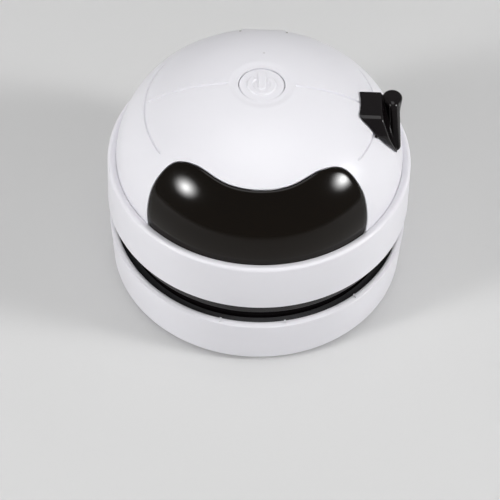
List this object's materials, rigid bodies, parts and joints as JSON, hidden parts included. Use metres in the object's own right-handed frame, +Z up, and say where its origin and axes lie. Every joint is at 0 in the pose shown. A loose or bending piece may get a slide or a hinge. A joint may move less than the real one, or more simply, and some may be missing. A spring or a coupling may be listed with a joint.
{
  "type": "desktop mini vacuum cleaner",
  "caption": "Small domed desktop vacuum cleaner with a smoked window, a power button, a plugged side port and a twist-off dust box with a ring of bristles.",
  "frame": {"origin": "on the desk, under the middle of the round body", "axes": "+Z up, -Y the front with the smoked window, +X the side port with its plug, +Y the charging socket"},
  "size_m": [0.086, 0.086, 0.0674],
  "materials": {
    "white_shell": "moulded gloss",
    "smoked_window": "polished smoked",
    "black_gloss": "polished",
    "black_rubber": "matt",
    "grey_plastic": "moulded satin",
    "black_plastic": "fine grain",
    "nylon_bristle": "drawn fibre",
    "filter_fleece": "pleated fleece",
    "plated_steel": "nickel plated",
    "green_board": "solder mask",
    "cell_sleeve": "shrunk sleeve"
  },
  "bodies": {
    "upper_body": {"dome_cover": "white_shell", "visor": "smoked_window", "skirt_ring": "white_shell", "collar": "black_gloss", "box_seal": "black_rubber", "filter_frame": "grey_plastic", "filter_pleats": "filter_fleece", "fan_housing": "grey_plastic", "motor_plate": "grey_plastic", "motor_can": "plated_steel", "motor_cap": "black_plastic", "battery_cradle": "black_plastic", "battery_cell": "cell_sleeve", "circuit_board": "green_board", "tact_switch": "black_plastic", "charge_hood": "white_shell", "charge_socket": "plated_steel", "charge_board": "green_board", "nozzle_duct": "black_plastic", "cover_screw_1": "plated_steel", "cover_screw_2": "plated_steel", "cover_screw_3": "plated_steel", "fan_screw_1": "plated_steel", "fan_screw_2": "plated_steel", "fan_screw_3": "plated_steel", "motor_screw_1": "plated_steel", "motor_screw_2": "plated_steel", "board_screw_1": "plated_steel", "board_screw_2": "plated_steel"},
    "button": {"power_button": "white_shell", "switch_plunger": "black_plastic"},
    "rotor": {"impeller": "grey_plastic", "motor_shaft": "plated_steel"},
    "plug": {"port_plug": "black_gloss"},
    "lower_cup": {"dust_box": "white_shell", "box_floor": "white_shell", "intake_tube": "grey_plastic", "brush_carrier": "black_plastic", "brush_ring": "nylon_bristle", "foot_1": "black_rubber", "foot_2": "black_rubber", "foot_3": "black_rubber", "foot_4": "black_rubber", "carrier_screw_1": "plated_steel", "carrier_screw_2": "plated_steel", "carrier_screw_3": "plated_steel"}
  },
  "joints": [
    {"name": "button_press", "type": "slide", "parent": "upper_body", "child": "button", "axis": [0, 0, -1], "range_m": [0, 0.0007], "stiffness_N_per_m": 800},
    {"name": "fan_spin", "type": "hinge", "parent": "upper_body", "child": "rotor", "pos_m": [0, 0, 0.03], "axis": [0, 0, 1], "continuous": true},
    {"name": "plug_pull", "type": "slide", "parent": "upper_body", "child": "plug", "axis": [1, 0, 0], "range_m": [0, 0.014]},
    {"name": "dust_box_twist", "type": "hinge", "parent": "upper_body", "child": "lower_cup", "pos_m": [0, 0, 0.01], "axis": [0, 0, -1], "range_deg": [0, 22]}
  ]
}
